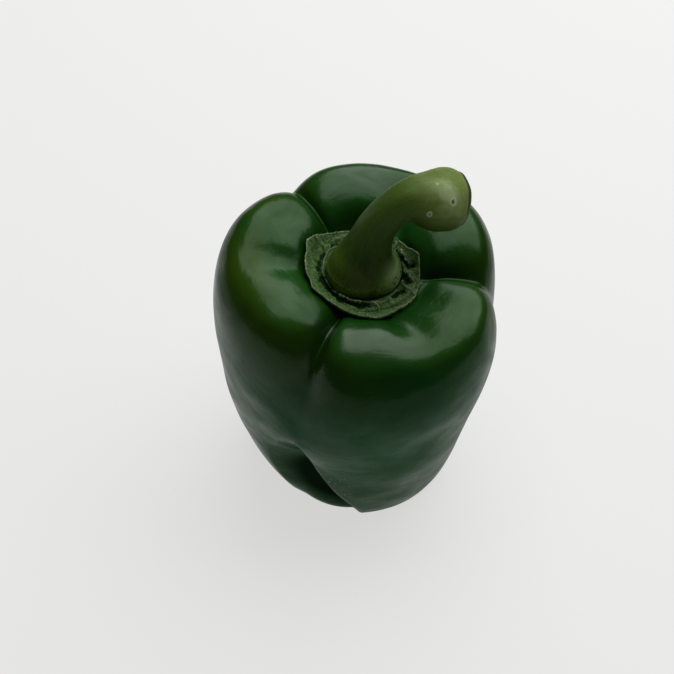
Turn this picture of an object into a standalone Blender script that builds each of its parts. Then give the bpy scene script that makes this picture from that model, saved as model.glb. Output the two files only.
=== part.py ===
"""Green bell pepper: one fruit with three creased lobes, the leathery calyx in its
crown, and the hooked, club-ended stem. Metres, +Z up; it stands on its lobes' tips."""

import bmesh
import bpy
import numpy as np
from math import acos, atan2, degrees, pi

MM = 0.001

# Profiles of the fruit as (radius, height) in mm, from the crown's middle over the
# shoulder and down to the blossom end: one along a lobe's ridge, one along a crease.
RIDGE_PROFILE = ((0, 79), (9, 79), (16, 78.2), (17.1, 81.7), (22.1, 84.8), (30.2, 87.2),
                 (38.8, 85.8), (44.6, 77.6), (45.7, 60.8), (42.7, 45.8), (41.6, 32.5),
                 (37.9, 19.1), (34.4, 6.5), (29.6, -2.8), (19.8, 0.9), (9, 8), (0, 9))
CREASE_PROFILE = ((0, 79), (8, 78.5), (14.8, 77.1), (20.5, 76.6), (26.6, 77.6), (30.8, 76),
                  (34.9, 69.6), (36.4, 60.9), (39.9, 50.8), (40.2, 39.6), (34.7, 28.4),
                  (32.3, 17.2), (31.8, 6.4), (24.7, 2.4), (14, 6), (6, 10), (0, 11))

# The creases run down at 0, 120 and 240 degrees. Each of the three lobes is split by a
# shallow groove, and its two halves differ, by the azimuth of the half's middle: (reach
# of the shoulder, crest moved out and raised in mm, reach of the foot, shoulder moved out
# and raised in mm, foot raised in mm).
LOBES = {30: (1.003, 0.5, -0.6, 1, 1.9, 2.5, 0), 90: (0.981, 3.7, 2.7, 1, -2.7, 2.3, 0),
         150: (0.961, 0.9, 2.3, 1.057, -1, 2.9, 1.9),
         210: (0.967, -2.4, -1.3, 0.943, -1.5, 0.3, 0.9),
         270: (1.002, -4.7, -5.6, 1.047, 0.3, -4, -1.6),
         330: (1.032, -1.9, -6.9, 1.004, 1.2, 2, -3.2)}
CROWN_TURN = {0: -2.3, 60: -1.1, 120: 1.9, 180: 0.3, 240: 7.6, 300: 5.1}   # degrees
# A crease's drift in degrees on its way down, its depth at the crown and at the foot.
CREASES = {0: (5.6, 1, 1.1), 120: (3.7, 0.67, 1.11), 240: (0, 1.29, 0.15)}
GROOVES = {60: 1.71, 180: 0.73, 300: 1.03}  # strength of each groove
CROWN_OFFSET = (2.5, 0.0)                   # the crown's middle, from the lobes' axis, mm
ORIGIN_OFFSET = (0.6, -0.8)                 # the box's middle, from the lobes' axis, mm
SKIN_MARGIN = 0.3                           # the solid is this much fuller, mm

# Each trio holds for the crown, the side and the foot.
CREASE_WIDTH = (0.02, 0.138, 0.04)          # rounding in the bottom of a crease
LOBE_FULLNESS = (4.52, 2.05, 3.02)          # how soon a lobe reaches its full swell
LOBE_STEEPNESS = (3.03, 0.8, 1.77)          # how steeply it leaves the crease
GROOVE_DEPTH = (0.291, -0.034, -0.046)      # groove between a lobe's halves
GROOVE_WIDTH = 0.213

# A fold at the foot, where one lobe tucks in behind its neighbour: (height mm, azimuth).
FOLD_LINE = ((3, 273), (6, 270), (13, 263.5), (18.5, 257.5), (27, 249), (38, 244.5), (43, 241))
FOLD_HEIGHTS = (12, 43)                     # mm, where it is widest and where it ends
FOLD_WIDTH = 40                             # degrees, where it is widest
FOLD_NARROWING = 0.75                       # share of that width lost at its upper end
FOLD_FADE = 1.4                             # how late it loses its depth on the way up
FOLD_DEPTH = 8                              # mm
FOLD_EDGE = 2.8                             # degrees
FOLD_FOOT = (0, 12)                         # mm, it fades out to the ground

FRUIT_SEGMENTS = 72
FRUIT_RINGS = 40

# The calyx lies round the stem's foot: its middle from the crown's middle, its inner
# radius, and the corners of its torn outline as (azimuth, radius), all in mm.
CALYX_MIDDLE = (0.8, 0.2)
CALYX_INNER = 11.5
CALYX_OUTLINE = ((1, 16.7), (17, 17.3), (32, 16.0), (50, 15.9), (78, 15.7), (104, 16.0), (119, 16.7),
                 (135, 17.5), (155, 19.0), (164, 17.9), (180, 17.6), (202, 17.2), (211, 18.0),
                 (227, 16.8), (256, 16.9), (269, 17.4), (281, 18.5), (288, 18.3), (306, 17.1),
                 (331, 17.4), (347, 16.9))
CALYX_SPOKES = 96
CALYX_STEPS = 4
CALYX_CLEARANCE = 0.5 * MM
CALYX_THICKNESS = 1.4 * MM

# Stem stations: (x, y, z, radius) in mm, from the crown's middle.
STEM_STATIONS = ((0.8, 0.2, 79.4, 10.9), (0.8, 0.2, 80.6, 11.1), (0.8, 0.2, 82.6, 10.9),
                 (0.9, 0.3, 85.2, 9.4), (1.5, 0.6, 88.6, 7.7), (2.7, 0.8, 93.2, 6.5),
                 (4.3, 1.2, 97.8, 5.9), (6.6, 1.7, 101.8, 5.5), (9.4, 2.5, 104.9, 5.35),
                 (12.6, 3.5, 106.4, 6.0), (15.9, 4.6, 106.1, 7.4), (19.2, 5.7, 104.8, 8.8),
                 (22.3, 6.8, 103.6, 9.9), (25.3, 7.9, 102.6, 9.4), (28.0, 8.9, 101.7, 8.5))
STEM_RINGS = 36


def ease(low, high, value):
    """Smooth step from 0 at low to 1 at high."""
    t = np.clip((value - low) / (high - low), 0, 1)
    return t * t * (3 - 2 * t)


def spline(points, along):
    """Cubic spline guided by points, at along from 0 to 1, mirrored at the axis."""
    guide = np.array(points, float)
    guide = np.vstack([guide[1] * (-1, 1), guide, guide[-2] * (-1, 1)])
    place = np.clip(along, 0, 1) * (len(points) - 1)
    k = np.minimum(place.astype(int), len(points) - 2)
    f = (place - k)[..., None]
    return ((1 - f) ** 3 * guide[k] + (3 * f ** 3 - 6 * f ** 2 + 4) * guide[k + 1]
            + (3 * f + 3 * f ** 2 - 3 * f ** 3 + 1) * guide[k + 2] + f ** 3 * guide[k + 3]) / 6


def around(azimuth, table):
    """Values given at evenly spaced azimuths, eased from each one to the next."""
    marks = sorted(table)
    values = np.array([table[mark] for mark in marks], float).reshape(len(marks), -1)
    place = np.mod(azimuth - marks[0], 360) * len(marks) / 360
    k = place.astype(int) % len(marks)
    f = ease(0, 1, place - np.floor(place))[..., None]
    return values[k] * (1 - f) + values[(k + 1) % len(marks)] * f


def staged(stages, trio):
    """Mixes a trio of crown, side and foot values."""
    return stages[0] * trio[0] + stages[1] * trio[1] + stages[2] * trio[2]


def fold_share(azimuth, height):
    """1 beside the fold's edge, falling to 0 behind it."""
    heights, places = np.transpose(FOLD_LINE)
    behind = np.mod(np.interp(height, heights, places) - azimuth + 180, 360) - 180
    upward = ease(*FOLD_HEIGHTS, height)
    spread = FOLD_WIDTH * (1 - FOLD_NARROWING * upward)
    share = ease(-FOLD_EDGE, FOLD_EDGE, behind) * np.clip(1 - behind / spread, 0, 1)
    return share * (1 - upward ** FOLD_FADE)


def skin(azimuth, along, creased=True):
    """Points of the fruit's skin in metres: azimuth in degrees, along from the crown's
    middle (0) to the blossom end (1). Without creases it is the hull over them."""
    crown = 1 - ease(0.30, 0.55, along)
    foot = ease(0.60, 0.85, along)
    stages = (crown, 1 - crown - foot, foot)

    across = 1 - np.abs(np.mod(azimuth, 120) / 60 - 1)      # 0 in a crease, 1 in a groove
    soft = np.minimum(np.hypot(across, staged(stages, CREASE_WIDTH)), 1)
    swell = (1 - (1 - soft) ** staged(stages, LOBE_FULLNESS)) ** (1 / staged(stages, LOBE_STEEPNESS))
    rim = crown * ease(0.10, 0.20, along) * (1 - ease(0.26, 0.42, along))
    groove = staged((rim, stages[1], foot), GROOVE_DEPTH) * around(azimuth, GROOVES)[..., 0]
    swell = swell - groove * np.exp(-((1 - across) / GROOVE_WIDTH) ** 2)
    drift, crown_depth, foot_depth = np.moveaxis(around(azimuth, CREASES), -1, 0)
    swell = 1 - (1 - swell) * (crown_depth * (1 - foot) + foot_depth * foot)
    if not creased:
        swell = np.ones_like(swell)

    crease_line = spline(CREASE_PROFILE, along)
    line = crease_line + (spline(RIDGE_PROFILE, along) - crease_line) * swell[..., None]
    (reach, crest_out, crest_up, foot_reach,
     side_out, side_up, foot_up) = np.moveaxis(around(azimuth, LOBES), -1, 0)
    crest = ease(0.10, 0.24, along) * (1 - ease(0.28, 0.56, along))
    shoulder = ease(0.28, 0.42, along) * (1 - ease(0.46, 0.64, along))
    low = ease(0.55, 0.90, along)
    radius = line[..., 0] + crest_out * crest + side_out * shoulder + SKIN_MARGIN * np.sin(pi * along)
    radius = radius * (reach * (1 - low) + foot_reach * low)
    lift = (crest_up * crest + side_up * shoulder) * (0.4 + 0.6 * swell)
    lift = lift + foot_up * ease(0.66, 0.80, along) * (1 - ease(0.86, 0.96, along))
    height = np.maximum(line[..., 1] + lift, 0)

    turned = azimuth + around(azimuth, CROWN_TURN)[..., 0] * (1 - ease(0.40, 0.62, along))
    turned = turned + drift * ease(0.56, 0.78, along)
    tuck = fold_share(turned, height) * (0.3 + 0.7 * ease(*FOLD_FOOT, height)) * ease(12, 26, radius)
    radius = radius - FOLD_DEPTH * tuck
    turned = np.radians(turned)
    head = 1 - ease(0.15, 0.50, along)
    x = radius * np.cos(turned) + CROWN_OFFSET[0] * head - ORIGIN_OFFSET[0]
    y = radius * np.sin(turned) + CROWN_OFFSET[1] * head - ORIGIN_OFFSET[1]
    return np.stack([x, y, height], -1) * MM


def crown_height(x, y):
    """Height in mm of the crown, its creases bridged, at a place from its middle in mm."""
    turn = degrees(atan2(y, x))
    points = skin(turn, np.linspace(0.01, 0.24, 60), creased=False) / MM
    reach = np.hypot(points[:, 0] - CROWN_OFFSET[0] + ORIGIN_OFFSET[0],
                     points[:, 1] - CROWN_OFFSET[1] + ORIGIN_OFFSET[1])
    return float(np.interp(np.hypot(x, y), reach, points[:, 2]))


def clear_scene():
    for old in list(bpy.data.objects):
        bpy.data.objects.remove(old, do_unlink=True)


def material(name, colour, roughness):
    mat = bpy.data.materials.new(name)
    mat.use_nodes = True
    shader = mat.node_tree.nodes["Principled BSDF"]
    shader.inputs["Base Color"].default_value = (*colour, 1)
    shader.inputs["Roughness"].default_value = roughness
    shader.inputs["Metallic"].default_value = 0
    mat.diffuse_color = (*colour, 1)
    return mat


def add_object(name, data, mat, collection, parent):
    data.materials.append(mat)
    obj = bpy.data.objects.new(name, data)
    obj.parent = parent
    collection.objects.link(obj)
    return obj


def fruit_mesh():
    """A globe of rings and meridians, moved out to the skin of the lobes."""
    bm = bmesh.new()
    bmesh.ops.create_uvsphere(bm, u_segments=FRUIT_SEGMENTS, v_segments=FRUIT_RINGS, radius=1)
    azimuth = np.array([degrees(atan2(v.co.y, v.co.x)) for v in bm.verts])
    along = np.array([acos(max(-1, min(1, v.co.z))) / pi for v in bm.verts])
    for vert, point in zip(bm.verts, skin(azimuth, along)):
        vert.co = point
    bmesh.ops.recalc_face_normals(bm, faces=bm.faces)
    mesh = bpy.data.meshes.new("fruit")
    bm.to_mesh(mesh)
    bm.free()
    mesh.shade_smooth()
    return mesh


def calyx_mesh():
    """An open collar that follows the crown: a circle pulled outward ring by ring."""
    places, outline = np.transpose(CALYX_OUTLINE)
    bm = bmesh.new()
    bmesh.ops.create_circle(bm, segments=CALYX_SPOKES, radius=1)
    azimuth = [degrees(atan2(v.co.y, v.co.x)) for v in bm.verts]
    edges = list(bm.edges)
    ring = list(bm.verts)
    for number in range(CALYX_STEPS + 1):
        if number:
            pulled = bmesh.ops.extrude_edge_only(bm, edges=edges)["geom"]
            edges = [part for part in pulled if isinstance(part, bmesh.types.BMEdge)
                     and all(v in pulled for v in part.verts)]
            ring = [part for part in pulled if isinstance(part, bmesh.types.BMVert)]
        for vert, turn in zip(ring, azimuth):
            outer = np.interp(turn, places, outline, period=360)
            out = CALYX_INNER + (outer - CALYX_INNER) * number / CALYX_STEPS
            x = out * np.cos(np.radians(turn)) + CALYX_MIDDLE[0]
            y = out * np.sin(np.radians(turn)) + CALYX_MIDDLE[1]
            vert.co = np.array([x + CROWN_OFFSET[0] - ORIGIN_OFFSET[0],
                                y + CROWN_OFFSET[1] - ORIGIN_OFFSET[1], crown_height(x, y)]) * MM
            vert.co.z += CALYX_CLEARANCE
    bmesh.ops.recalc_face_normals(bm, faces=bm.faces)
    if sum(face.normal.z for face in bm.faces) < 0:
        bmesh.ops.reverse_faces(bm, faces=bm.faces)
    mesh = bpy.data.meshes.new("calyx")
    bm.to_mesh(mesh)
    bm.free()
    mesh.shade_smooth()
    return mesh


def stem_curve():
    """A tube along the stem's line, with its own radius at each point."""
    stations = np.array(STEM_STATIONS, float)
    places = np.linspace(0, len(stations) - 1, STEM_RINGS + 1)
    smooth = np.stack([catmull(stations, place) for place in places])
    curve = bpy.data.curves.new("stem", "CURVE")
    curve.dimensions = "3D"
    curve.bevel_depth = MM
    curve.bevel_resolution = 4
    curve.use_fill_caps = True
    line = curve.splines.new("POLY")
    line.points.add(len(smooth) - 1)
    for point, (x, y, z, radius) in zip(line.points, smooth):
        point.co = ((x + CROWN_OFFSET[0] - ORIGIN_OFFSET[0]) * MM,
                    (y + CROWN_OFFSET[1] - ORIGIN_OFFSET[1]) * MM, z * MM, 1)
        point.radius = radius
    return curve


def catmull(stations, place):
    """The smooth curve through the stations, at place counted in stations."""
    k = min(int(place), len(stations) - 2)
    f = place - k
    a, b, c, d = (stations[min(max(k + step, 0), len(stations) - 1)] for step in (-1, 0, 1, 2))
    return b + f * (c - a + f * (2 * a - 5 * b + 4 * c - d + f * (3 * (b - c) + d - a))) / 2


def build():
    clear_scene()
    collection = bpy.data.collections.new("bell_pepper")
    bpy.context.scene.collection.children.link(collection)
    stand = bpy.data.objects.new("stand_point", None)
    collection.objects.link(stand)

    skin_green = material("green_skin", (0.012, 0.040, 0.006), 0.22)
    calyx_green = material("calyx_green", (0.045, 0.090, 0.030), 0.65)
    stem_green = material("stem_green", (0.060, 0.100, 0.022), 0.50)

    add_object("fruit", fruit_mesh(), skin_green, collection, stand)
    calyx = add_object("calyx", calyx_mesh(), calyx_green, collection, stand)
    wall = calyx.modifiers.new("leathery_wall", "SOLIDIFY")
    wall.thickness = CALYX_THICKNESS
    wall.offset = 1
    add_object("stem", stem_curve(), stem_green, collection, stand)


build()
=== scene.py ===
import math

import bpy
import numpy as np
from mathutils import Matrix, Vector, noise


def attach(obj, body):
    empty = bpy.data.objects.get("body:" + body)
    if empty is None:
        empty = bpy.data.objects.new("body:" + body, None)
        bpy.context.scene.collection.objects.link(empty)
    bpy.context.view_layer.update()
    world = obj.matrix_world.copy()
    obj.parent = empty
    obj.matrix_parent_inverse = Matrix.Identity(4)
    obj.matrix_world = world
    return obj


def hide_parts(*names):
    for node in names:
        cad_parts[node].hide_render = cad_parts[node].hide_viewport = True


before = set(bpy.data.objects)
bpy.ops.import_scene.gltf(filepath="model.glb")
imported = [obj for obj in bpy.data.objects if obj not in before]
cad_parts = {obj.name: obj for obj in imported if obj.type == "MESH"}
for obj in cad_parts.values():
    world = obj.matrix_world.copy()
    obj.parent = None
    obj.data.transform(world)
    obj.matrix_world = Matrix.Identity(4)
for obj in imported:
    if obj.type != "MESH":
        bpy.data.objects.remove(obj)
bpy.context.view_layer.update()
mm = 0.001


# small helpers for the mesh work

def ease(low, high, value):
    share = np.clip((value - low) / (high - low), 0, 1)
    return share * share * (3 - 2 * share)


def peak(value, middle, width):
    return np.exp(-((value - middle) / width) ** 2)


def within(zone, value):
    # 1 inside a zone, which is given as the range it sets in over and the range it fades out over
    rise, fall = zone
    share = ease(*rise, value) if rise else 1
    return share * (1 - ease(*fall, value)) if fall else share


def turnFrom(azimuth, middle):
    return np.mod(azimuth - middle + 180, 360) - 180


def facing(azimuth, middle, spread):
    # 1 at the middle azimuth, falling off to both sides
    return peak(turnFrom(azimuth, middle), 0, spread)


def onCircle(azimuth, radius=1.0, height=0.0):
    turn = np.radians(azimuth)
    return np.stack([radius * np.cos(turn), radius * np.sin(turn), height + 0 * turn], -1)


def spline(points, along):
    # cubic spline guided by (radius, height) points, mirrored at the axis
    guide = np.array(points, float)
    guide = np.vstack([guide[1] * (-1, 1), guide, guide[-2] * (-1, 1)])
    place = np.clip(along, 0, 1) * (len(points) - 1)
    first = np.minimum(place.astype(int), len(points) - 2)
    past = (place - first)[..., None]
    left = 1 - past
    return (left ** 3 * guide[first] + (3 * past ** 3 - 6 * past ** 2 + 4) * guide[first + 1]
            + (3 * left ** 3 - 6 * left ** 2 + 4) * guide[first + 2] + past ** 3 * guide[first + 3]) / 6


def around(azimuth, table):
    # values given at evenly spaced azimuths, eased from each one to the next
    marks = sorted(table)
    values = np.array([table[mark] for mark in marks], float).reshape(len(marks), -1)
    place = np.mod(azimuth - marks[0], 360) * len(marks) / 360
    before = place.astype(int) % len(marks)
    share = ease(0, 1, place - np.floor(place))[..., None]
    return values[before] * (1 - share) + values[(before + 1) % len(marks)] * share


def byAzimuth(azimuth, table):
    # straight steps between (azimuth, value) pairs
    places, values = np.transpose(table)
    return np.interp(azimuth, places, values, period=360)


def catmull(stations, place):
    # smooth curve through the stations
    first = min(int(place), len(stations) - 2)
    past = place - first
    picked = np.clip(first + np.arange(-1, 3), 0, len(stations) - 1)
    before, start, end, after = stations[picked]
    cubic = 3 * (start - end) + after - before
    square = 2 * before - 5 * start + 4 * end - after
    return start + past * (end - before + past * (square + past * cubic)) / 2


def deselectAll():
    if bpy.context.object and bpy.context.object.mode != "OBJECT":
        bpy.ops.object.mode_set(mode="OBJECT")
    bpy.ops.object.select_all(action="DESELECT")


def readPoints(mesh):
    flat = np.empty(len(mesh.vertices) * 3)
    mesh.vertices.foreach_get("co", flat)
    return flat.reshape(-1, 3)


def writePoints(mesh, points):
    mesh.vertices.foreach_set("co", points.astype(np.float32).ravel())
    mesh.update()


def readNormals(mesh):
    flat = np.empty(len(mesh.vertices) * 3)
    mesh.vertex_normals.foreach_get("vector", flat)
    return flat.reshape(-1, 3)


def paintPoints(mesh, name, values):
    layer = mesh.attributes.new(name, "FLOAT", "POINT")
    layer.data.foreach_set("value", np.asarray(values, np.float32))


def paintPlace(mesh, name, places):
    # a place for the grain to follow, read back by Finish.paintedPlace
    for axis, values in zip("XYZ", places.T):
        paintPoints(mesh, name + axis, values)


def ripple(points, size, seed):
    # smooth noise at each point, about -1 to 1; size is the width of a swell
    shift = Vector((seed * 7.3, seed * 3.1, seed * 5.7))
    return np.array([noise.noise(Vector(p) / size + shift) for p in points])


def dress(piece, material):
    deselectAll()
    bpy.context.view_layer.objects.active = piece
    piece.select_set(True)
    bpy.ops.object.shade_smooth()
    piece.data.materials.append(material)


# shader building

class Wire:
    # a socket that can be used in plain arithmetic
    def __init__(self, tree, socket):
        self.tree = tree
        self.socket = socket

    def maths(self, operation, *values):
        node = self.tree.nodes.new("ShaderNodeMath")
        node.operation = operation
        for place, value in enumerate(values):
            if isinstance(value, Wire):
                self.tree.links.new(value.socket, node.inputs[place])
            else:
                node.inputs[place].default_value = value
        return Wire(self.tree, node.outputs[0])

    def __add__(self, other):
        return self.maths("ADD", self, other)

    def __radd__(self, other):
        return self.maths("ADD", other, self)

    def __sub__(self, other):
        return self.maths("SUBTRACT", self, other)

    def __rsub__(self, other):
        return self.maths("SUBTRACT", other, self)

    def __mul__(self, other):
        return self.maths("MULTIPLY", self, other)

    def __rmul__(self, other):
        return self.maths("MULTIPLY", other, self)


class Finish:
    # a material, where add makes every node that plain arithmetic doesn't
    def __init__(self, name):
        self.material = bpy.data.materials.new(name)
        self.material.use_nodes = True
        self.tree = self.material.node_tree
        self.tree.nodes.clear()

    def add(self, kind, values=None, out=0, **settings):
        node = self.tree.nodes.new(kind)
        for name, value in settings.items():
            setattr(node, name, value)
        for name, value in (values or {}).items():
            if isinstance(value, Wire):
                self.tree.links.new(value.socket, node.inputs[name])
            elif isinstance(value, tuple) and node.inputs[name].type == "RGBA":
                node.inputs[name].default_value = (*value, 1)
            else:
                node.inputs[name].default_value = value
        return Wire(self.tree, node.outputs[out]) if node.outputs else None

    def noise(self, place, scale, detail=2.0, roughness=0.5, warp=0.0):
        return self.add("ShaderNodeTexNoise", {"Vector": place, "Scale": scale, "Detail": detail,
                                               "Roughness": roughness, "Distortion": warp})

    def step(self, value, low, high):
        # eased from 0 at low to 1 at high
        return self.add("ShaderNodeMapRange", {"Value": value, "From Min": low, "From Max": high},
                        interpolation_type="SMOOTHSTEP")

    def blend(self, share, first, second):
        # this node's colour sockets share their names with others, so they go by number
        return self.add("ShaderNodeMix", {0: share, 6: first, 7: second}, out=2, data_type="RGBA")

    def layered(self, colour, *layers):
        # further colours laid over the first, each with its share
        for share, tint in layers:
            colour = self.blend(share, colour, tint)
        return colour

    def bump(self, heights, strength, distance, **under):
        return self.add("ShaderNodeBump", {"Height": heights, "Strength": strength,
                                           "Distance": distance, **under})

    def objectPlace(self):
        return self.add("ShaderNodeTexCoord", out="Object")

    def distance(self, place, spot):
        # in mm from a spot that is given in mm
        away = self.add("ShaderNodeVectorMath", {0: place, 1: tuple(np.array(spot) * mm)}, out="Value",
                        operation="DISTANCE")
        return away * (1 / mm)

    def painted(self, name):
        return self.add("ShaderNodeAttribute", out="Fac", attribute_name=name)

    def paintedPlace(self, name):
        return self.add("ShaderNodeCombineXYZ", {axis: self.painted(name + axis) for axis in "XYZ"})

    def close(self, values, dull=None, dullColour=None):
        shader = self.add("ShaderNodeBsdfPrincipled", values)
        if dull:
            matt = self.add("ShaderNodeBsdfDiffuse", {"Color": dullColour})
            shader = self.add("ShaderNodeMixShader", {0: dull, 1: shader, 2: matt})
        self.add("ShaderNodeOutputMaterial", {"Surface": shader})
        return self.material


# fruit

fruit = {
    "segments": 384,
    "rings": 190,
    "crowding": 0.5,          # how far meridians crowd towards the creases
    # (radius, height) in mm along a lobe's ridge and along a crease
    "ridgeProfile": ((0, 79), (9, 79), (16, 78.2), (17.1, 81.7), (22.1, 84.8), (30.2, 87.2),
                     (38.8, 85.8), (44.6, 77.6), (45.7, 60.8), (42.7, 45.8), (41.6, 32.5),
                     (37.9, 19.1), (34.4, 6.5), (29.6, -2.8), (19.8, 0.9), (9, 8), (0, 9)),
    "creaseProfile": ((0, 79), (8, 78.5), (14.8, 77.1), (20.5, 76.6), (26.6, 77.6), (30.8, 76),
                      (34.9, 69.6), (36.4, 60.9), (39.9, 50.8), (40.2, 39.6), (34.7, 28.4),
                      (32.3, 17.2), (31.8, 6.4), (24.7, 2.4), (14, 6), (6, 10), (0, 11)),
    # half lobe's azimuth: reach, crest out and up mm, foot reach, shoulder out and up mm, foot up mm
    "lobes": {30: (1.003, 0.5, -0.6, 1, 1.9, 2.5, 0), 90: (0.981, 3.7, 2.7, 1, -2.7, 2.3, 0),
              150: (0.961, 0.9, 2.3, 1.057, -1, 2.9, 1.9),
              210: (0.967, -2.4, -1.3, 0.943, -1.5, 0.3, 0.9),
              270: (1.002, -4.7, -5.6, 1.047, 0.3, -4, -1.6),
              330: (1.032, -1.9, -6.9, 1.004, 1.2, 2, -3.2)},
    "crownTurn": {0: -2.3, 60: -1.1, 120: 1.9, 180: 0.3, 240: 7.6, 300: 5.1},
    # crease's azimuth: drift in degrees at the foot, depth at the crown, depth at the foot
    "creases": {0: (5.6, 1, 1.1), 120: (3.7, 0.67, 1.11), 240: (0, 1.29, 0.15)},
    "grooves": {60: 1.71, 180: 0.73, 300: 1.03},
    "crownOffset": (2.5, 0.0),
    "originOffset": (0.6, -0.8),
    # crown, side and foot
    "creaseWidth": (0.02, 0.138, 0.04),
    "lobeFullness": (4.52, 2.05, 3.02),
    "lobeSteepness": (3.03, 0.8, 1.77),
    "grooveDepth": (0.291, -0.034, -0.046),
    "grooveWidth": 0.213,
    # a fold at the foot, where one lobe tucks in behind its neighbour's edge: height and azimuth
    "foldLine": ((3, 273), (6, 270), (13, 263.5), (18.5, 257.5), (27, 249), (38, 244.5), (43, 241)),
    "foldHeights": (12, 43),  # mm, where it is widest and where it ends
    "foldWidth": 40,          # degrees, where it is widest
    "foldNarrowing": 0.75,    # share of that width lost at its upper end
    "foldFade": 1.4,          # how late it loses its depth on the way up
    "foldDepth": 8,           # mm
    "foldEdge": 2.8,          # degrees, half the width of its rounded edge
    "foldFoot": ((0, 12), 0.3),     # mm, heights it shallows between, and the share left on the ground
    "foldReach": (12, 26),    # mm from the axis, where it sets in
    # mm, heights where its painted shade fades, and the share lost: above it, and at its foot, lit by the
    # ground
    "foldPale": (((16, 30), 0.8), ((12, 3), 0.8)),
    # where each feature sets in and fades out, from the crown's middle (0) to the blossom end (1)
    "zones": {"crown": (None, (0.30, 0.55)), "foot": ((0.60, 0.85), None),
              "rim": ((0.10, 0.20), (0.26, 0.42)), "crest": ((0.10, 0.24), (0.28, 0.56)),
              "shoulder": ((0.28, 0.42), (0.46, 0.64)), "footReach": ((0.55, 0.90), None),
              "footLift": ((0.66, 0.80), (0.86, 0.96)), "crownTurn": (None, (0.40, 0.62)),
              "drift": ((0.56, 0.78), None), "head": (None, (0.15, 0.50)),
              "uneven": ((0.10, 0.25), None), "fold": ((0.60, 0.65), (0.80, 0.86)),
              "shine": ((0.18, 0.30), (0.32, 0.42)), "upper": (None, (0.20, 0.30)),
              "ripening": ((0.28, 0.34), (0.40, 0.48))},
    "lowLift": 0.4,           # share of a half lobe's lift that reaches into the creases
    # how strongly each half lobe's shoulder shines
    "shine": {30: 0.5, 90: 1.5, 150: 0.0, 210: 0.15, 270: 2.0, 330: 0.25},
    # dark marks beside the collar: azimuth, distance out and width in mm
    "stains": ((241, 16.4, 1.9), (295, 17.0, 1.4)),
    # width and height in mm of the skin's unevenness, broad to fine
    "uneven": ((24, 0.32), (9, 0.13), (4, 0.035)),
    "evenFoot": (0.4, 3.0),   # mm, it stays level where it stands
    "underCollar": (12.5, 14.5),    # mm from the collar's middle, painted shade inside
    "mattSide": (285, 60),    # azimuth and spread in degrees
    "ripeSide": (172, 36),
    "specks": ((262, 7), (20, 9)),  # azimuth and height in mm, each with its spread
    # dark and light of each green; the top green is painted light, laid where the skin faces up
    "greens": {"top": ((0.005, 0.042, 0.0040), (0.009, 0.054, 0.0052)),
               "deep": ((0.0014, 0.015, 0.0006), (0.0030, 0.020, 0.0008)),
               "side": ((0.0040, 0.051, 0.0120), (0.0090, 0.065, 0.0165))},
    # the fold tint is painted shade, laid in the fold and under the collar
    "tints": {"foot": (0.012, 0.048, 0.0140), "olive": (0.028, 0.056, 0.0025),
              "patch": (0.008, 0.032, 0.002), "speck": (0.40, 0.44, 0.38),
              "fold": (0.004, 0.011, 0.005), "stain": (0.024, 0.0025, 0.0055)},
    "fanScale": (0.014, 0.12),      # how fine the streaks are round the fruit and along it
}
crownPlace = np.array(fruit["crownOffset"]) - fruit["originOffset"]


def staged(stages, trio):
    return stages[0] * trio[0] + stages[1] * trio[1] + stages[2] * trio[2]


def foldShare(azimuth, height):
    # 1 beside the fold's edge, falling to 0 behind it
    heights, places = np.transpose(fruit["foldLine"])
    low, high = fruit["foldHeights"]
    behind = turnFrom(np.interp(height, heights, places), azimuth)
    spread = fruit["foldWidth"] * (1 - fruit["foldNarrowing"] * ease(low, high, height))
    edge = fruit["foldEdge"]
    share = ease(-edge, edge, behind) * np.clip(1 - behind / spread, 0, 1)
    return share * (1 - ease(low, high, height) ** fruit["foldFade"])


def skinPoint(azimuth, along, creased=True):
    # azimuth in degrees, along from the crown's middle (0) to the blossom end (1)
    zones = {name: within(zone, along) for name, zone in fruit["zones"].items()}
    crown, foot = zones["crown"], zones["foot"]
    stages = (crown, 1 - crown - foot, foot)
    across = 1 - np.abs(np.mod(azimuth, 120) / 60 - 1)
    soft = np.minimum(np.hypot(across, staged(stages, fruit["creaseWidth"])), 1)
    fullness = staged(stages, fruit["lobeFullness"])
    swell = (1 - (1 - soft) ** fullness) ** (1 / staged(stages, fruit["lobeSteepness"]))
    grooveDepth = staged((crown * zones["rim"], stages[1], foot), fruit["grooveDepth"])
    groove = grooveDepth * around(azimuth, fruit["grooves"])[..., 0]
    swell = swell - groove * peak(1 - across, 0, fruit["grooveWidth"])
    drift, crownDepth, footDepth = np.moveaxis(around(azimuth, fruit["creases"]), -1, 0)
    swell = 1 - (1 - swell) * (crownDepth * (1 - foot) + footDepth * foot)
    if not creased:
        swell = np.ones_like(swell)
    creaseLine = spline(fruit["creaseProfile"], along)
    line = creaseLine + (spline(fruit["ridgeProfile"], along) - creaseLine) * swell[..., None]
    half = np.moveaxis(around(azimuth, fruit["lobes"]), -1, 0)
    reach, crestOut, crestUp, footReach, sideOut, sideUp, footUp = half
    crest, shoulder, low = zones["crest"], zones["shoulder"], zones["footReach"]
    radius = line[..., 0] + crestOut * crest + sideOut * shoulder
    radius = radius * (reach * (1 - low) + footReach * low)
    lift = crestUp * crest + sideUp * shoulder
    lift = lift * (fruit["lowLift"] + (1 - fruit["lowLift"]) * swell) + footUp * zones["footLift"]
    height = np.maximum(line[..., 1] + lift, 0)
    turned = azimuth + around(azimuth, fruit["crownTurn"])[..., 0] * zones["crownTurn"]
    turned = turned + drift * zones["drift"]
    heights, left = fruit["foldFoot"]
    tuck = foldShare(turned, height) * (left + (1 - left) * ease(*heights, height))
    radius = radius - fruit["foldDepth"] * tuck * ease(*fruit["foldReach"], radius)
    flat = onCircle(turned, radius)[..., :2]
    flat = flat + zones["head"][..., None] * fruit["crownOffset"] - fruit["originOffset"]
    return np.concatenate([flat, height[..., None]], -1) * mm


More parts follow.
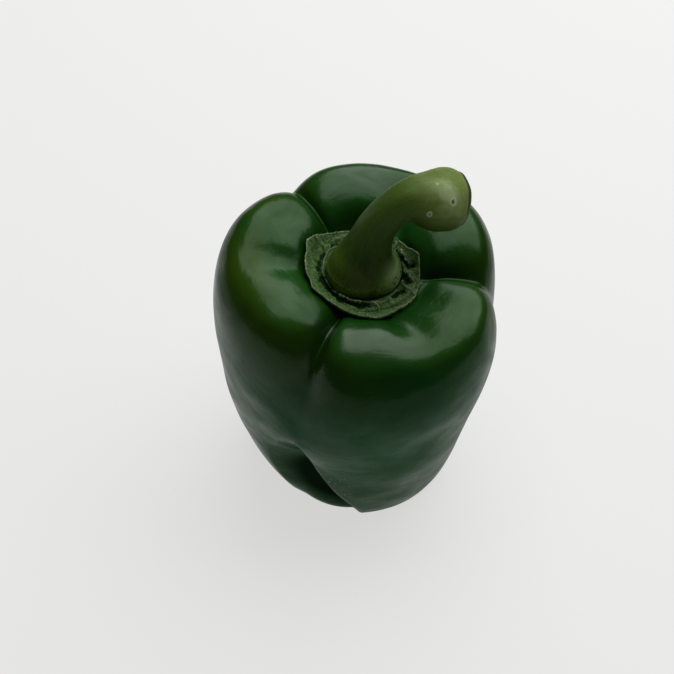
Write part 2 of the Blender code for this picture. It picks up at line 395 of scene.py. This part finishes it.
def makeFruit():
    deselectAll()
    bpy.ops.mesh.primitive_uv_sphere_add(segments=fruit["segments"], ring_count=fruit["rings"],
                                         radius=1, location=(0, 0, 0))
    piece = bpy.context.object
    piece.name = "pepperFruit"
    globe = readPoints(piece.data)
    azimuth = np.degrees(np.arctan2(globe[:, 1], globe[:, 0]))
    azimuth -= np.degrees(fruit["crowding"] / 3 * np.sin(np.radians(3 * azimuth)))
    along = np.arccos(np.clip(globe[:, 2], -1, 1)) / np.pi
    points = skinPoint(azimuth, along)
    writePoints(piece.data, points)
    uneven = sum(height * ripple(points, width * mm, width) for width, height in fruit["uneven"])
    uneven *= within(fruit["zones"]["uneven"], along) * ease(*fruit["evenFoot"], points[:, 2] / mm)
    points = points + readNormals(piece.data) * uneven[:, None] * mm
    writePoints(piece.data, points)
    paintFruit(piece.data, azimuth, along, points / mm)
    dress(piece, skinFinish())
    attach(piece, "root")
    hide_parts("fruit")
    print("fruit made:", len(piece.data.polygons), "faces")


def paintFruit(mesh, azimuth, along, points):
    # points in mm
    zones = {name: within(zone, along) for name, zone in fruit["zones"].items()}
    height = points[:, 2]
    x, y = (points[:, :2] + fruit["originOffset"]).T
    turned = np.degrees(np.arctan2(y, x))
    across, down = fruit["fanScale"]
    paintPoints(mesh, "along", along)
    paintPoints(mesh, "upward", readNormals(mesh)[:, 2])
    paintPlace(mesh, "fan", onCircle(azimuth, across, along * down))
    paintPoints(mesh, "shine", around(azimuth, fruit["shine"])[..., 0] * zones["shine"])
    paintPoints(mesh, "matt", 0.1 + 0.9 * facing(turned, *fruit["mattSide"]))
    paintPoints(mesh, "ripening", (0.25 + 0.75 * facing(azimuth, *fruit["ripeSide"])) * zones["ripening"])
    # painted shade: the fold is darkest halfway up and takes some light back from the ground at its foot;
    # the skin under the collar is painted shade too
    fold = foldShare(turned, height) * zones["fold"]
    for heights, lost in fruit["foldPale"]:
        fold = fold * (1 - lost * ease(*heights, height))
    flat = points[:, :2] - crownPlace - calyx["middle"]
    collarShade = (1 - ease(*fruit["underCollar"], np.hypot(*flat.T))) * zones["upper"]
    paintPoints(mesh, "fold", np.maximum(fold, collarShade))
    stain = sum(peak(np.hypot(*(flat - onCircle(place, out)[:2]).T), 0, width)
                for place, out, width in fruit["stains"])
    paintPoints(mesh, "stain", np.minimum(stain, 1) * zones["upper"])
    side, level = fruit["specks"]
    paintPoints(mesh, "speckled", facing(turned, *side) * peak(height, *level))


def skinFinish():
    finish = Finish("pepperSkin")
    place = finish.objectPlace()
    along = finish.painted("along")
    broad = finish.noise(place, 26, detail=3)
    patch = finish.noise(place, 60, detail=2, warp=0.6)
    fine = finish.noise(place, 260, detail=3, roughness=0.6)
    streak = finish.noise(finish.paintedPlace("fan"), 210, detail=4, roughness=0.55, warp=0.5)
    grain = finish.noise(place, 1500, detail=2)
    # painted light: lighter where the lobes face up, deepest round the shoulder; fresh green again
    # towards the foot
    mottled = finish.step(broad, 0.3, 0.7)
    greens = {name: finish.blend(mottled, *pair) for name, pair in fruit["greens"].items()}
    tints = fruit["tints"]
    olive = finish.painted("ripening") * finish.step(broad + 0.4 * patch, 0.45, 0.85)
    specks = finish.step(finish.noise(place, 1100, detail=1), 0.70, 0.74) * finish.painted("speckled")
    colour = finish.layered(greens["deep"],
                            (finish.step(finish.painted("upward"), 0.70, 0.97), greens["top"]),
                            (finish.step(along, 0.36, 0.54), greens["side"]),
                            (finish.step(along, 0.60, 0.72) * 0.6, tints["foot"]),
                            (olive, tints["olive"]),
                            (finish.step(patch, 0.45, 0.75) * 0.2, tints["patch"]),
                            (specks, tints["speck"]))
    rough = 0.185 + 0.025 * finish.step(along, 0.30, 0.50) + 0.035 * broad + 0.02 * streak
    swirl = finish.bump(streak, 0.24, 0.0010)
    bumps = finish.bump(grain * 0.6 + fine, 0.06, 0.0004, Normal=swirl)
    # wax bloom in streaks, and duller skin round the sides and on the stains; painted shade, dark and
    # matt, in the fold and under the collar
    bloom = finish.step(patch, 0.38, 0.62) * 0.25 + finish.step(streak, 0.40, 0.60) * 0.20
    gloss = finish.painted("shine") * (0.05 + 0.30 * finish.step(streak, 0.30, 0.70))
    sides = finish.painted("matt") * finish.step(along, 0.36, 0.56)
    fold = finish.step(finish.painted("fold"), 0.0, 0.45)
    stain = finish.step(finish.painted("stain") + 0.3 * patch, 0.45, 0.8)
    dull = 1 - (1 - bloom) * (1 - 0.42 * sides) * (1 - 0.93 * fold) * (1 - 0.9 * stain)
    dullColour = finish.layered(colour, (fold, tints["fold"]), (stain, tints["stain"]))
    return finish.close({"Base Color": colour, "Roughness": rough, "Normal": bumps, "IOR": 1.45,
                         "Specular IOR Level": 0.235, "Specular Tint": (0.76, 1.0, 0.74),
                         "Coat Weight": gloss, "Coat Roughness": 0.26, "Coat IOR": 1.5},
                        dull, dullColour)


# collar at the stem's foot

calyx = {
    "spokes": 420,
    "topRings": 72,
    "turnRings": 6,           # round the torn edge
    "underRings": 6,
    "middle": (0.8, 0.2),     # mm from the crown's middle
    "innerRadius": 11.5,      # mm, just clear of the stem's foot
    "thickness": 0.75,
    "gap": 0.32,              # mm, clear of the fruit
    "edgeRound": 0.45,
    "ragged": 0.12,           # mm, how far its outline and lip stray
    "standOff": 0.5,          # mm, how far its outer edge lifts off the crown
    # corners of the torn outline: azimuth and radius in mm
    "outline": ((1, 16.7), (17, 17.3), (32, 16.0), (50, 15.9), (78, 15.7), (104, 16.0), (119, 16.7),
                (135, 17.5), (155, 19.0), (164, 17.9), (180, 17.6), (202, 17.2), (211, 18.0),
                (227, 16.8), (256, 16.9), (269, 17.4), (281, 18.5), (288, 18.3), (306, 17.1),
                (331, 17.4), (347, 16.9)),
    # thin raised lip round the stem
    "lip": ((140, 13.4), (155, 12.9), (169, 12.4), (191, 11.95), (214, 11.8), (234, 11.85),
            (262, 12.2), (279, 12.5), (293, 13.3), (314, 12.6), (333, 12.1), (390, 12.1), (440, 12.4)),
    # folds standing up: a path of azimuths and radii, then height and width in mm
    "folds": ((((50, 15.5), (46, 13.5), (38, 11.8)), 1.0, 0.40),
              (((37, 12.3), (11, 11.9), (358, 13.0), (347, 14.8)), 0.9, 0.35),
              (((38, 14.0), (23, 13.6), (5, 14.2)), 0.8, 0.30),
              (((336, 12.2), (333, 16.8)), 0.8, 0.35),
              (((304, 12.6), (305, 14.9)), 0.6, 0.50),
              (((243, 13.8), (252, 13.4), (258, 14.0), (260, 15.2)), 0.6, 0.35),
              (((272, 13.8), (279, 12.9), (286, 13.5), (287, 15.3)), 0.8, 0.40),
              (((168, 15.2), (188, 13.6), (205, 13.1), (219, 13.0), (232, 13.6)), 0.4, 0.40),
              (((146, 18.2), (142, 16.5), (140, 14.4)), 0.5, 0.30),
              (((138, 14.6), (124, 15.3), (110, 14.8)), 0.5, 0.35)),
    # gaps sunk between them, in the same form, darkened with painted shade
    "gaps": ((((25, 12.6), (13, 13.2), (9, 14.6)), 1.3, 0.85),
             (((352, 11.9), (344, 13.4)), 1.2, 0.85),
             (((311, 12.9), (319, 12.8), (327, 13.8)), 1.0, 0.60),
             (((190, 12.9), (207, 12.5), (224, 12.4), (239, 12.9), (250, 12.8), (262, 13.3), (274, 13.1)),
              1.1, 0.78),
             (((148, 14.0), (158, 14.0), (173, 13.8), (190, 12.9)), 1.0, 0.60),
             (((133, 14.2), (127, 13.7), (120, 13.3)), 0.8, 0.45),
             (((43, 13.0), (32, 12.9), (17, 12.7)), 0.9, 0.45)),
    "pathWander": {"folds": 0.40, "gaps": 0.60},    # mm that these paths stray
    "lipHeight": 1.1,
    "lipWidth": 0.30,
    # azimuth and spread in degrees of a stretch where the lip is wider, and of one where it is lower
    "lipWide": (252, 38),
    "lipLow": (325, 18),
    "bandHeight": 0.45,       # broad raised border
    "bandWidth": (2.2, 1.1),  # mm, its mean and how much it varies
    "foldHeight": 0.25,       # small folds fanning out
    "foldSide": (5, 55),      # azimuth and spread in degrees, where they are tallest
    "fanRound": 14,           # how fine the fanned grain is round the collar
    "rimHeight": 0.25,
    "rimWidth": 0.22,
    # the gap and inner tints are painted shade, in the sunk gaps and at the ring by the stem's foot
    "tints": {"low": (0.025, 0.070, 0.011), "high": (0.070, 0.142, 0.042),
              "raised": (0.130, 0.200, 0.084), "vein": (0.024, 0.060, 0.010),
              "streak": (0.135, 0.215, 0.090), "crease": (0.190, 0.270, 0.130),
              "edge": (0.230, 0.310, 0.165), "gap": (0.004, 0.017, 0.002),
              "inner": (0.012, 0.030, 0.004)},
}


def makeRings(name, spokes, rings, closed=False):
    # a tube of rings one above another; returns each point's ring number and azimuth
    deselectAll()
    bpy.ops.mesh.primitive_circle_add(vertices=spokes, radius=1, location=(0, 0, 0))
    piece = bpy.context.object
    piece.name = name
    bpy.ops.object.mode_set(mode="EDIT")
    bpy.ops.mesh.select_all(action="SELECT")
    for number in range(rings - 1):
        bpy.ops.mesh.extrude_region_move(TRANSFORM_OT_translate={"value": (0, 0, 1)})
    if closed:
        # join the last ring back to the first
        bpy.ops.mesh.select_all(action="DESELECT")
        bpy.ops.mesh.select_non_manifold()
        bpy.ops.mesh.bridge_edge_loops()
    bpy.ops.object.mode_set(mode="OBJECT")
    points = readPoints(piece.data)
    azimuth = np.degrees(np.arctan2(points[:, 1], points[:, 0]))
    return piece, np.rint(points[:, 2]).astype(int), np.mod(azimuth, 360)


def faceOutward(piece):
    bpy.context.view_layer.objects.active = piece
    bpy.ops.object.mode_set(mode="EDIT")
    bpy.ops.mesh.select_all(action="SELECT")
    bpy.ops.mesh.normals_make_consistent(inside=False)
    bpy.ops.object.mode_set(mode="OBJECT")


def crownHeight(radius, azimuth):
    # height in mm of the unfurrowed crown at a distance from its middle
    steps = np.linspace(0.01, 0.22, 80)
    turnStep = 2
    turns = np.arange(0, 360, turnStep)
    grid = skinPoint(*np.meshgrid(turns, steps, indexing="ij"), creased=False) / mm
    reach = np.hypot(grid[..., 0] - crownPlace[0], grid[..., 1] - crownPlace[1])
    nearest = np.rint(azimuth / turnStep).astype(int) % len(turns)
    height = np.empty(len(radius))
    for turn in range(len(turns)):
        chosen = nearest == turn
        height[chosen] = np.interp(radius[chosen], reach[turn], grid[turn, :, 2])
    return height


def drawn(flat, marks):
    # height at each point of folds drawn as paths round the collar
    total = np.zeros(len(flat))
    for path, rise, width in marks:
        place, out = np.array(path).T
        corners = onCircle(place, out)[:, :2]
        away = np.full(len(flat), np.inf)
        for start, end in zip(corners[:-1], corners[1:]):
            step = end - start
            share = np.clip((flat - start) @ step / (step @ step), 0, 1)
            away = np.minimum(away, np.hypot(*(flat - start - share[:, None] * step).T))
        total = np.maximum(total, rise * peak(away, 0, width))
    return total


def makeCalyx():
    last = calyx["topRings"] - 1
    rings = calyx["topRings"] + calyx["turnRings"] + calyx["underRings"]
    piece, ring, azimuth = makeRings("pepperCalyx", calyx["spokes"], rings, closed=True)
    # share of the way out on top, round the edge and back underneath
    top = np.clip(ring / last, 0, 1)
    bend = np.clip((ring - last) / (calyx["turnRings"] + 1), 0, 1)
    under = np.clip((ring - last - calyx["turnRings"] - 1) / (calyx["underRings"] - 1), 0, 1)
    circle = onCircle(azimuth)
    outline = byAzimuth(azimuth, calyx["outline"]) + calyx["ragged"] * ripple(circle, 0.05, 4)
    inner = calyx["innerRadius"]
    edge = calyx["edgeRound"]
    radius = inner + (outline - edge - inner) * (top - under) + edge * np.sin(np.pi * bend)
    span = np.clip((radius - inner) / (outline - inner), 0, 1)
    flat = onCircle(azimuth, radius)

    lipPlace = byAzimuth(azimuth, calyx["lip"]) + calyx["ragged"] * ripple(circle, 0.12, 6)
    lipWidth = calyx["lipWidth"] * (1 + 1.3 * facing(azimuth, *calyx["lipWide"]))
    lip = peak(radius, lipPlace, lipWidth) * (0.8 + 0.5 * ripple(circle, 0.2, 7))
    lip *= 1 - 0.8 * facing(azimuth, *calyx["lipLow"])
    wander = np.stack([ripple(flat, 0.9, 21), ripple(flat, 0.9, 22)], -1)
    raised, sunk = (drawn(flat[:, :2] + stray * wander, calyx[name])
                    for name, stray in calyx["pathWander"].items())
    raised *= 0.9 + 0.6 * ripple(flat, 1.2, 23)
    mean, swing = calyx["bandWidth"]
    bandWidth = mean + swing * ripple(circle, 0.25, 14)
    band = ease(bandWidth + 1.0, bandWidth - 0.6, outline - radius) * (0.9 + 0.5 * ripple(flat, 1.5, 10))
    folds = ripple(onCircle(azimuth, calyx["fanRound"], radius * 0.2), 1.9, 8)
    folds *= ease(0.15, 0.45, span) * (0.25 + 0.75 * facing(azimuth, *calyx["foldSide"]))
    rim = peak(radius, outline - 0.3, calyx["rimWidth"]) * (0.8 + 0.6 * ripple(circle, 0.3, 11))
    relief = (calyx["lipHeight"] * lip + calyx["bandHeight"] * band + calyx["foldHeight"] * folds
              + calyx["rimHeight"] * rim + raised - sunk)
    relief *= (under == 0) * (1 - ease(0.2, 0.9, bend))

    base = crownHeight(np.hypot(*(flat[:, :2] + calyx["middle"]).T), azimuth)
    thick = calyx["thickness"] * (1 + np.cos(np.pi * bend)) / 2
    lifted = calyx["standOff"] * ease(0.6, 1, span) * (0.6 + ripple(circle, 0.45, 12))
    height = base + calyx["gap"] + thick + relief + np.maximum(lifted, 0)
    points = np.column_stack([flat[:, :2] + crownPlace + calyx["middle"], height])
    writePoints(piece.data, points * mm)
    faceOutward(piece)
    paintPoints(piece.data, "relief", relief)
    paintPoints(piece.data, "span", span)
    paintPoints(piece.data, "sunk", sunk)
    paintPoints(piece.data, "edges", np.maximum(np.maximum(raised, lip), rim))
    paintPlace(piece.data, "fan", onCircle(azimuth, calyx["fanRound"], radius * 0.3))
    dress(piece, calyxFinish())
    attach(piece, "root")
    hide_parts("calyx")
    print("calyx made:", len(piece.data.polygons), "faces")


def calyxFinish():
    finish = Finish("pepperCalyxLeather")
    place = finish.objectPlace()
    relief = finish.painted("relief")
    span = finish.painted("span")
    streaks = finish.noise(finish.paintedPlace("fan"), 1.6, detail=4, roughness=0.6)
    mottle = finish.noise(place, 420, detail=4, roughness=0.65, warp=0.4)
    fine = finish.noise(place, 1800, detail=3, roughness=0.6)
    crumple = finish.noise(place, 260, detail=4, roughness=0.6, warp=1.2)
    offMiddle = crumple - 0.5
    crease = 1 - finish.step(offMiddle * offMiddle, 0.0, 0.0012)
    pale = finish.step(streaks, 0.55, 0.72) * finish.step(span, 0.35, 0.6)
    edges = finish.step(finish.painted("edges"), 0.25, 0.80)
    edges = edges * (0.25 + 0.75 * finish.step(streaks, 0.35, 0.60))
    tints = calyx["tints"]
    colour = finish.layered(tints["low"],
                            (finish.step(mottle, 0.35, 0.65), tints["high"]),
                            (finish.step(relief, 0.10, 0.70) * 0.5, tints["raised"]),
                            ((1 - finish.step(streaks, 0.30, 0.45)) * 0.5, tints["vein"]),
                            (pale * 0.5, tints["streak"]),
                            (crease * 0.55, tints["crease"]),
                            (edges, tints["edge"]),
                            # painted shade in the sunk gaps
                            (finish.step(finish.painted("sunk"), 0.12, 0.60) * 0.97, tints["gap"]),
                            # painted shade at the inner ring by the stem's foot
                            (1 - finish.step(span, 0.0, 0.03), tints["inner"]))
    bumps = finish.bump(0.7 * streaks + 0.4 * mottle + 0.15 * fine + 0.35 * crease, 0.85, 0.0012)
    return finish.close({"Base Color": colour, "Roughness": 0.50 + 0.15 * mottle, "Normal": bumps,
                         "Specular IOR Level": 0.04, "Specular Tint": (0.84, 1.0, 0.80)})


# stem

stem = {
    "spokes": 128,
    "sideRings": 170,
    "faceRings": 26,          # over the rim and across the cut face
    # x, y, height and radius in mm from the crown's middle
    "stations": ((0.8, 0.2, 79.4, 10.9), (0.8, 0.2, 80.6, 11.25), (0.8, 0.2, 82.6, 10.9),
                 (0.9, 0.3, 85.2, 9.4), (1.5, 0.6, 88.6, 7.7), (2.7, 0.8, 93.2, 6.5),
                 (4.3, 1.2, 97.8, 5.9), (6.6, 1.7, 101.8, 5.5), (9.4, 2.5, 104.9, 5.35),
                 (12.6, 3.5, 106.4, 6.0), (15.9, 4.6, 106.1, 7.3), (19.2, 5.7, 104.8, 8.65),
                 (22.3, 6.8, 103.5, 9.35), (25.3, 7.9, 102.5, 9.1), (27.4, 8.7, 101.8, 8.1)),
    "leanAzimuth": 17,        # degrees, the plane the hook bends in
    # pores on the skin: place in mm, size
    "pores": ((27.7, 1.2, 109.3, 1.1), (21.1, -1.5, 106.8, 0.9), (23.2, 5.0, 112.8, 0.5)),
    "blotch": (25.9, 2.3, 111.3, 2.3),
    "faceDish": 1.1,          # how deep the cut face is sunk, mm
    "rimRound": 1.3,
    "rimShare": 0.35,         # of the face rings, those round the rim
    "faceShrink": 0.985,      # how far the cut face's rings close in
    "ribs": (5, 0.015),       # how many and how high, as a share of the radius
    "groove": (262, 9),       # azimuth and spread in degrees
    "grooveDepth": 0.05,      # as a share of the radius
    # width, share of the radius and seed of its unevenness
    "uneven": ((2.2, 0.035, 20), (0.7, 0.010, 21)),
    # where each feature sets in and fades out, from the foot (0) to the cut (1)
    "zones": {"ribs": ((0.10, 0.35), None), "groove": (None, (0.30, 0.50)), "low": (None, (0.20, 0.34))},
    # azimuth and spread in degrees of the foot's colours
    "sides": {"warm": (203, 38), "pale": (338, 26), "shade": (268, 34)},
    "shadePlace": (0.27, 0.10),     # along the stem, with its spread
    # painted light and sheen: the top tints, on the club's upper side; painted shade: the tints for its
    # underside and the neck's front
    "tints": {"low": (0.021, 0.058, 0.004), "lowPale": (0.034, 0.075, 0.007),
              "neck": (0.058, 0.100, 0.020), "club": (0.085, 0.130, 0.016),
              "top": (0.225, 0.295, 0.110), "topPale": (0.290, 0.350, 0.190),
              "underShade": (0.014, 0.034, 0.003), "foot": (0.055, 0.130, 0.010),
              "warm": (0.082, 0.145, 0.010), "pale": (0.250, 0.370, 0.150),
              "shade": (0.006, 0.022, 0.003), "tan": (0.066, 0.070, 0.022),
              "speckle": (0.010, 0.026, 0.003), "blotch": (0.26, 0.31, 0.17),
              "poreRing": (0.36, 0.38, 0.25), "pore": (0.030, 0.040, 0.012),
              "cut": (0.16, 0.15, 0.08), "cutPale": (0.28, 0.27, 0.16),
              "cutEdge": (0.022, 0.012, 0.012)},
}


def stemLine(place):
    stations = np.array(stem["stations"], float)
    return np.stack([catmull(stations, spot) for spot in place])


def makeStem():
    side = stem["sideRings"]
    rings = side + stem["faceRings"]
    piece, ring, azimuth = makeRings("pepperStem", stem["spokes"], rings)
    last = len(stem["stations"]) - 1
    spots = np.linspace(0, last, side)
    line = stemLine(spots)
    nearby = 0.02
    ahead = stemLine(np.minimum(spots + nearby, last)) - stemLine(np.maximum(spots - nearby, 0))
    tangent = ahead[:, :3] / np.linalg.norm(ahead[:, :3], axis=1)[:, None]
    lean = math.radians(stem["leanAzimuth"])
    across = np.array([-math.sin(lean), math.cos(lean), 0])
    inward = np.cross(np.broadcast_to(across, tangent.shape), tangent)

    turn = np.radians(azimuth)
    onSide = np.minimum(ring, side - 1)
    share = onSide / (side - 1)
    past = np.clip((ring - side + 1) / stem["faceRings"], 0, 1)
    # past the side the rings round the rim and shrink across the face
    roundPart = np.clip(past / stem["rimShare"], 0, 1)
    facePart = np.clip((past - stem["rimShare"]) / (1 - stem["rimShare"]), 0, 1)
    number, height = stem["ribs"]
    ribs = height * np.cos(number * turn + 0.6) * within(stem["zones"]["ribs"], share)
    groove = facing(azimuth, *stem["groove"]) * within(stem["zones"]["groove"], share)
    skin = onCircle(azimuth, 3, onSide * 0.08)
    uneven = sum(rise * ripple(skin, width, seed) for width, rise, seed in stem["uneven"])
    radius = line[onSide, 3] * (1 + ribs - stem["grooveDepth"] * groove + uneven)
    bend = roundPart * math.pi / 2
    lateral = (radius - stem["rimRound"] * (1 - np.cos(bend))) * (1 - facePart * stem["faceShrink"])
    forward = stem["rimRound"] * np.sin(bend) - stem["faceDish"] * ease(0, 0.5, facePart)
    outward = inward[onSide] * np.cos(turn)[:, None] + across * np.sin(turn)[:, None]
    points = line[onSide, :3] + tangent[onSide] * forward[:, None] + outward * lateral[:, None]
    points[:, :2] += crownPlace
    writePoints(piece.data, points * mm)
    closeEnds(piece)
    paintStem(piece.data, ring, azimuth, share, facePart)
    dress(piece, stemFinish())
    piece.visible_glossy = False
    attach(piece, "root")
    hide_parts("stem")
    print("stem made:", len(piece.data.polygons), "faces")


def closeEnds(piece):
    # both open rings get a face
    bpy.context.view_layer.objects.active = piece
    bpy.ops.object.mode_set(mode="EDIT")
    bpy.ops.mesh.select_mode(type="EDGE")
    bpy.ops.mesh.select_all(action="DESELECT")
    bpy.ops.mesh.select_non_manifold()
    bpy.ops.mesh.fill_holes(sides=0)
    bpy.ops.mesh.select_mode(type="VERT")
    bpy.ops.object.mode_set(mode="OBJECT")
    faceOutward(piece)


def paintStem(mesh, ring, azimuth, share, facePart):
    paintPoints(mesh, "upward", readNormals(mesh)[:, 2])
    paintPoints(mesh, "share", share)
    paintPoints(mesh, "face", facePart)
    low = within(stem["zones"]["low"], share)
    reach = {"warm": low, "pale": low, "shade": peak(share, *stem["shadePlace"])}
    for name, side in stem["sides"].items():
        paintPoints(mesh, name, facing(azimuth + stem["leanAzimuth"], *side) * reach[name])
    paintPlace(mesh, "grain", onCircle(azimuth, 3, ring * 0.045))


def stemFinish():
    finish = Finish("pepperStemFlesh")
    place = finish.objectPlace()
    share = finish.painted("share")
    face = finish.painted("face")
    upward = finish.painted("upward")
    streaks = finish.noise(finish.paintedPlace("grain"), 2.2, detail=5, roughness=0.6)
    mottle = finish.noise(place, 90, detail=5, roughness=0.6)
    clouds = finish.noise(place, 55, detail=3, roughness=0.5, warp=0.5)
    dots = finish.noise(place, 1150, detail=1, roughness=0.5)
    foot = 1 - finish.step(share, 0.08, 0.26)
    club = finish.step(share, 0.55, 0.85)
    # painted light on the club's upper side, by its normals
    light = finish.step(upward, -0.1, 0.95) * finish.step(share, 0.62, 0.86)
    tan = finish.step(clouds, 0.46, 0.62) * (1 - foot) * (1 - club)
    speckles = (0.15 + 0.85 * foot) * finish.step(dots, 0.57, 0.63)
    *blotch, spread = stem["blotch"]
    away = finish.distance(place, blotch) + 4 * mottle - 2
    patchy = 1 - finish.step(away, spread * 0.6, spread * 1.2)
    tints = stem["tints"]
    top = finish.blend(finish.step(streaks, 0.3, 0.7), tints["top"], tints["topPale"])
    colour = finish.layered(tints["low"],
                            (finish.step(streaks, 0.35, 0.65), tints["lowPale"]),
                            (finish.step(share, 0.34, 0.58) * 0.4, tints["neck"]),
                            (club, tints["club"]),
                            # painted light and sheen on the club's top
                            (light * (0.15 + 0.85 * finish.step(clouds, 0.40, 0.60)), top),
                            # painted shade where the stem faces down, less on its foot
                            ((1 - finish.step(upward, -0.6, 0.5)) * (0.9 - 0.7 * foot), tints["underShade"]),
                            (foot * 0.8, tints["foot"]),
                            (finish.painted("warm") * 0.8, tints["warm"]),
                            (finish.painted("pale") * 0.85, tints["pale"]),
                            (finish.painted("shade") * 0.8, tints["shade"]),
                            (tan * 0.45, tints["tan"]),
                            (speckles * 0.8, tints["speckle"]),
                            (patchy * 0.5, tints["blotch"]))
    for *spot, size in stem["pores"]:
        away = finish.distance(place, spot) * (1 / size) + 1.1 * finish.noise(place, 700, detail=2) - 0.4
        ring = finish.step(away, 0.45, 0.70) * (1 - finish.step(away, 1.05, 1.40))
        colour = finish.layered(colour, (ring * 0.65, tints["poreRing"]),
                                ((1 - finish.step(away, 0.35, 0.55)) * 0.7, tints["pore"]))
    cut = finish.blend(finish.step(mottle, 0.35, 0.65), tints["cut"], tints["cutPale"])
    edge = finish.step(share, 0.975, 1.0) * (1 - finish.step(face, 0.05, 0.22))
    colour = finish.layered(colour, (finish.step(face, 0.02, 0.25), cut),
                            (edge * finish.step(upward, -0.1, 0.4) * 0.85, tints["cutEdge"]))
    bumps = finish.bump(0.35 * streaks + 0.4 * mottle + 0.15 * dots, 0.25, 0.0005)
    return finish.close({"Base Color": colour, "Roughness": 0.42 + 0.15 * mottle, "Normal": bumps,
                         "Specular IOR Level": 0.10, "Specular Tint": (0.84, 1.0, 0.70)})


# lights, floor and camera

studio = {
    "floorRadius": 4,
    "floorColour": (0.20, 0.20, 0.197),
    "floorGlow": (0.64, 0.64, 0.632),
    "cameraRise": 50,           # degrees above the horizon
    "cameraDistance": 0.5,
    "cameraAim": (-0.0053, 0.0008, 0.050),
    "lens": 85.5,
    "lightPlace": (0.38, 0.66, 0.85),
    "lightSize": (1.31, 1.35),
    "lightPower": 20,
    "dimWalls": (0.04, 0.04, 0.04),
    "paleWalls": (0.82, 0.82, 0.81),
}


def makeStudio():
    deselectAll()
    bpy.ops.mesh.primitive_circle_add(vertices=96, radius=studio["floorRadius"], fill_type="NGON",
                                      location=(0, 0, 0))
    floor = bpy.context.object
    floor.name = "floor"
    finish = Finish("paleFloor")
    material = finish.close({"Base Color": studio["floorColour"], "Roughness": 0.9,
                             "Specular IOR Level": 0.1, "Emission Color": studio["floorGlow"],
                             "Emission Strength": 1.0})
    floor.data.materials.append(material)

    aim = Vector(studio["cameraAim"])
    rise = math.radians(studio["cameraRise"])
    back = Vector((0, -math.cos(rise), math.sin(rise)))
    bpy.ops.object.camera_add(location=aim + back * studio["cameraDistance"])
    camera = bpy.context.object
    camera.rotation_euler = (math.pi / 2 - rise, 0, 0)
    camera.data.lens = studio["lens"]
    bpy.context.scene.camera = camera

    bpy.ops.object.light_add(type="AREA", location=studio["lightPlace"])
    top = bpy.context.object
    top.data.shape = "RECTANGLE"
    top.data.size, top.data.size_y = studio["lightSize"]
    top.data.energy = studio["lightPower"]
    world = bpy.data.worlds.new("studioWorld")
    world.use_nodes = True
    bpy.context.scene.world = world
    nodes = world.node_tree.nodes
    nodes["Background"].inputs["Color"].default_value = (*studio["dimWalls"], 1)
    pale = nodes.new("ShaderNodeBackground")
    pale.inputs["Color"].default_value = (*studio["paleWalls"], 1)
    seen = nodes.new("ShaderNodeLightPath")
    choice = nodes.new("ShaderNodeMixShader")
    links = world.node_tree.links
    links.new(seen.outputs["Is Camera Ray"], choice.inputs["Fac"])
    links.new(nodes["Background"].outputs["Background"], choice.inputs[1])
    links.new(pale.outputs["Background"], choice.inputs[2])
    links.new(choice.outputs["Shader"], nodes["World Output"].inputs["Surface"])
    bpy.context.scene.view_settings.view_transform = "Standard"
    print("studio made")


# everything in place

makeFruit()
makeCalyx()
makeStem()
makeStudio()
